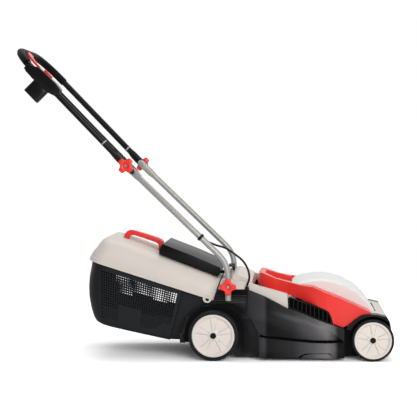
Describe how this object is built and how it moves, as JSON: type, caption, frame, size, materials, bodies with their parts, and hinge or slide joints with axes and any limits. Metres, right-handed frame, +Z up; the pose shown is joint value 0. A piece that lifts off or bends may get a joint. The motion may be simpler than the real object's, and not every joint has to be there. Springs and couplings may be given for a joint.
{
  "type": "electric lawn mower",
  "caption": "Walk-behind electric rotary lawn mower with rear grass box, folding two-part handle, domed motor cover and low front wheels.",
  "frame": {"origin": "middle of the outer box at floor height", "axes": "+X forward in the direction of travel, +Y to the left of the mower, +Z up"},
  "size_m": [1.2704, 0.4506, 1.061],
  "materials": {
    "cream_plastic": "warm light cream, satin gloss",
    "pale_dome": "near white cream, satin gloss",
    "hub_cream": "cream, semi gloss",
    "red_plastic": "bright red, gloss",
    "deck_plastic": "anthracite, satin",
    "black_plastic": "black, fine grain",
    "foam": "black closed foam, matt",
    "tyre_rubber": "dark grey ribbed tyre",
    "tube_silver": "silver grey lacquer",
    "tube_black": "black lacquer",
    "steel": "zinc plated",
    "motor_steel": "dark grey",
    "cable_black": "black sheath",
    "contact_brass": "bright"
  },
  "bodies": {
    "mower_body": {"deck_housing": "deck_plastic", "rear_hood": "cream_plastic", "motor_cover": "pale_dome", "carry_handle": "red_plastic", "left_vent_grille": "black_plastic", "right_vent_grille": "black_plastic", "front_bumper": "black_plastic", "rear_axle": "steel", "front_axle": "steel", "motor_case": "motor_steel", "start_capacitor": "black_plastic", "flap_hinge_rod": "steel", "left_hinge_block": "black_plastic", "right_hinge_block": "black_plastic", "flap_spring": "steel", "left_lower_bolt": "steel", "right_lower_bolt": "steel", "cable_grommet": "black_plastic", "cable_loop": "cable_black"},
    "rotor": {"motor_shaft": "steel", "blade_carrier": "black_plastic", "cooling_fan": "black_plastic", "blade": "steel", "blade_bolt": "steel"},
    "flap": {"rear_flap": "black_plastic"},
    "grass_box": {"grass_basket": "black_plastic", "grass_box_lid": "cream_plastic", "box_grip": "red_plastic"},
    "lower_handle": {"left_lower_tube": "tube_silver", "right_lower_tube": "tube_silver", "left_upper_bolt": "steel", "right_upper_bolt": "steel", "cable_lower": "cable_black", "cable_clip": "black_plastic", "cable_bridge": "cable_black"},
    "upper_handle": {"upper_tube": "tube_black", "foam_grip": "foam", "switch_box": "black_plastic", "plug_inlet": "black_plastic", "inlet_pins": "contact_brass", "cable_upper": "cable_black"},
    "bail": {"bail_lever": "red_plastic"},
    "button": {"lock_button": "red_plastic"},
    "left_rear_wheel": {"left_rear_tyre": "tyre_rubber", "left_rear_hub": "hub_cream", "left_rear_cap": "black_plastic"},
    "left_front_wheel": {"left_front_tyre": "tyre_rubber", "left_front_hub": "hub_cream", "left_front_cap": "black_plastic"},
    "right_rear_wheel": {"right_rear_tyre": "tyre_rubber", "right_rear_hub": "hub_cream", "right_rear_cap": "black_plastic"},
    "right_front_wheel": {"right_front_tyre": "tyre_rubber", "right_front_hub": "hub_cream", "right_front_cap": "black_plastic"},
    "left_lower_knob_body": {"left_lower_knob": "red_plastic"},
    "left_upper_knob_body": {"left_upper_knob": "red_plastic"},
    "right_lower_knob_body": {"right_lower_knob": "red_plastic"},
    "right_upper_knob_body": {"right_upper_knob": "red_plastic"}
  },
  "joints": [
    {"name": "left_rear_wheel_spin", "type": "hinge", "parent": "mower_body", "child": "left_rear_wheel", "pos_m": [0.03524, 0.193, 0.085], "axis": [0, 1, 0], "continuous": true},
    {"name": "left_front_wheel_spin", "type": "hinge", "parent": "mower_body", "child": "left_front_wheel", "pos_m": [0.56524, 0.193, 0.07], "axis": [0, 1, 0], "continuous": true},
    {"name": "right_rear_wheel_spin", "type": "hinge", "parent": "mower_body", "child": "right_rear_wheel", "pos_m": [0.03524, -0.193, 0.085], "axis": [0, 1, 0], "continuous": true},
    {"name": "right_front_wheel_spin", "type": "hinge", "parent": "mower_body", "child": "right_front_wheel", "pos_m": [0.56524, -0.193, 0.07], "axis": [0, 1, 0], "continuous": true},
    {"name": "rotor_spin", "type": "hinge", "parent": "mower_body", "child": "rotor", "pos_m": [0.32024, 0, 0.0295], "axis": [0, 0, 1], "continuous": true},
    {"name": "flap_hinge", "type": "hinge", "parent": "mower_body", "child": "flap", "pos_m": [0.08324, 0, 0.287], "axis": [0, 1, 0], "range_deg": [0, 75], "stiffness_Nm_per_rad": 0.12, "springref_deg": -20.05},
    {"name": "grass_box_slide", "type": "slide", "parent": "mower_body", "child": "grass_box", "axis": [-0.9516, 0, 0.3074], "range_m": [0, 0.12]},
    {"name": "lower_handle_fold", "type": "hinge", "parent": "mower_body", "child": "lower_handle", "pos_m": [0.08624, 0, 0.2495], "axis": [0, 1, 0], "range_deg": [0, 72], "deforming": ["cable_loop"]},
    {"name": "upper_handle_fold", "type": "hinge", "parent": "lower_handle", "child": "upper_handle", "pos_m": [-0.2503, 0, 0.6561], "axis": [0, -1, 0], "range_deg": [0, 85], "deforming": ["cable_bridge"]},
    {"name": "bail_pull", "type": "hinge", "parent": "upper_handle", "child": "bail", "pos_m": [-0.546, -0.183, 0.9793], "axis": [0, -1, 0], "range_deg": [0, 18], "stiffness_Nm_per_rad": 1.2, "springref_deg": -14.32},
    {"name": "lock_button_press", "type": "slide", "parent": "upper_handle", "child": "button", "axis": [-0.7254, 0, -0.6884], "range_m": [0, 0.004], "stiffness_N_per_m": 600, "springref_m": -0.002},
    {"name": "left_lower_knob_turn", "type": "hinge", "parent": "mower_body", "child": "left_lower_knob_body", "pos_m": [0.08624, 0.2178, 0.2495], "axis": [0, 1, 0], "continuous": true},
    {"name": "left_upper_knob_turn", "type": "hinge", "parent": "lower_handle", "child": "left_upper_knob_body", "pos_m": [-0.2503, 0.2166, 0.6561], "axis": [0, 1, 0], "continuous": true},
    {"name": "right_lower_knob_turn", "type": "hinge", "parent": "mower_body", "child": "right_lower_knob_body", "pos_m": [0.08624, -0.2178, 0.2495], "axis": [0, 1, 0], "continuous": true},
    {"name": "right_upper_knob_turn", "type": "hinge", "parent": "lower_handle", "child": "right_upper_knob_body", "pos_m": [-0.2503, -0.2166, 0.6561], "axis": [0, 1, 0], "continuous": true}
  ]
}
